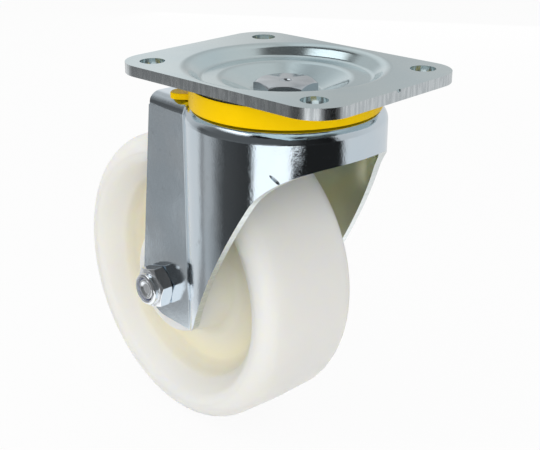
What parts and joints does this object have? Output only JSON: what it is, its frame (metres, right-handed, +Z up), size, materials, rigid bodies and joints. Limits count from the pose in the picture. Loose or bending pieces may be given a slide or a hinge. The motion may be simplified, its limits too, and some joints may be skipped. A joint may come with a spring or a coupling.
{
  "type": "swivel castor",
  "caption": "Swivel castor with a flat bolt-on plate, a ball race head with a dust ring, a pressed fork and a solid roller-bearing wheel.",
  "frame": {"origin": "centre of the top plate's upper face, on the swivel axis, in the middle of the four holes", "axes": "+Z up, out of the plate's upper face along the swivel axis; +X along the plate's length, in the direction of travel, so that the wheel trails towards -X; +Y across, away from the lock nut. The fork is stored turned 4.8 degrees about the swivel axis, as pictured."},
  "size_m": [0.1594, 0.081, 0.1583],
  "materials": {
    "zinc_plate": "satin zinc plate, faintly blue-green",
    "bright_zinc": "bright zinc plate, nearly a mirror",
    "bearing_steel": "plain ground steel",
    "yellow_plastic": "moulded yellow, half gloss",
    "white_nylon": "natural off-white nylon",
    "black_plastic": "moulded black"
  },
  "bodies": {
    "mounting": {"top_plate": "zinc_plate", "king_bolt": "bright_zinc", "race_cup": "bearing_steel", "king_washer": "zinc_plate", "king_nut": "bright_zinc", "king_nut_insert": "white_nylon"},
    "upper_ball_ring": {"upper_balls": "bearing_steel"},
    "lower_ball_ring": {"lower_balls": "bearing_steel"},
    "fork": {"fork": "bright_zinc", "dust_ring": "yellow_plastic", "axle_bolt": "bright_zinc", "axle_nut": "bright_zinc", "axle_nut_insert": "white_nylon", "axle_tube": "bearing_steel", "hub_washer_left": "zinc_plate", "hub_washer_right": "zinc_plate"},
    "roller_set": {"roller_cage": "black_plastic", "bearing_rollers": "bearing_steel"},
    "wheel": {"wheel": "white_nylon"}
  },
  "joints": [
    {"name": "swivel", "type": "hinge", "parent": "mounting", "child": "fork", "pos_m": [0, 0, 0], "axis": [0, 0, 1], "continuous": true},
    {"name": "upper_ball_orbit", "type": "hinge", "parent": "mounting", "child": "upper_ball_ring", "pos_m": [0, 0, 0], "axis": [0, 0, 1], "continuous": true},
    {"name": "lower_ball_orbit", "type": "hinge", "parent": "mounting", "child": "lower_ball_ring", "pos_m": [0, 0, 0], "axis": [0, 0, 1], "continuous": true},
    {"name": "wheel_spin", "type": "hinge", "parent": "fork", "child": "wheel", "pos_m": [-0.04444, 0.00373, -0.0958], "axis": [0.0837, 0.9965, 0], "continuous": true},
    {"name": "roller_orbit", "type": "hinge", "parent": "fork", "child": "roller_set", "pos_m": [-0.04444, 0.00373, -0.0958], "axis": [0.0837, 0.9965, 0], "continuous": true}
  ],
  "couplings": [
    {"joint": "upper_ball_orbit", "follows": "swivel", "ratio": 0.5},
    {"joint": "lower_ball_orbit", "follows": "swivel", "ratio": 0.5},
    {"joint": "roller_orbit", "follows": "wheel_spin", "ratio": 0.61326}
  ]
}
